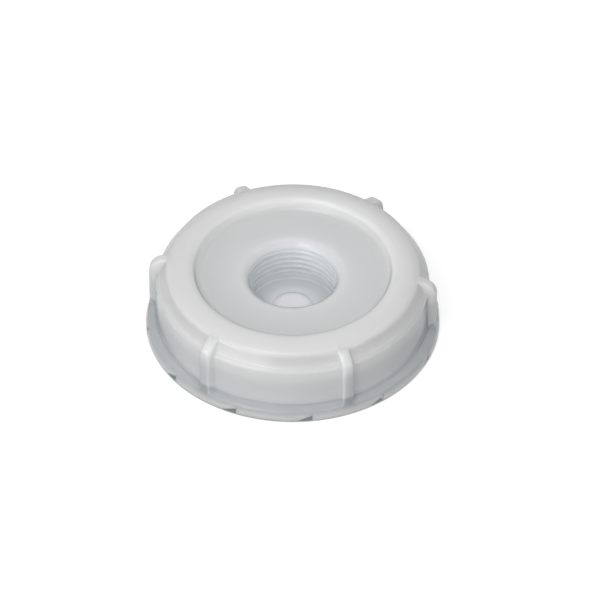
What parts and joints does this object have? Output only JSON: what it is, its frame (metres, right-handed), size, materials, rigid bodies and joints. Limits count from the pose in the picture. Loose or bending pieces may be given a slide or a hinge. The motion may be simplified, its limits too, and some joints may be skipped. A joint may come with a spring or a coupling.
{
  "type": "reducing screw cap",
  "caption": "Round moulded screw cap with wing ribs, a notched flange, a raised sealing ring and a threaded reducer socket in its middle, closed by a thin web.",
  "frame": {"origin": "centre of the flange's bottom face, on the cap's axis, where the cap stands on its open end", "axes": "+Z along the axis, out of the reducer socket's mouth; one wing rib lies on +X"},
  "size_m": [0.0838, 0.0838, 0.0213],
  "materials": {
    "cap_plastic": "satin translucent natural polyethylene",
    "gasket_foam": "soft white closed-cell foam"
  },
  "bodies": {
    "root": {"cap": "cap_plastic", "gasket": "gasket_foam"}
  },
  "joints": []
}
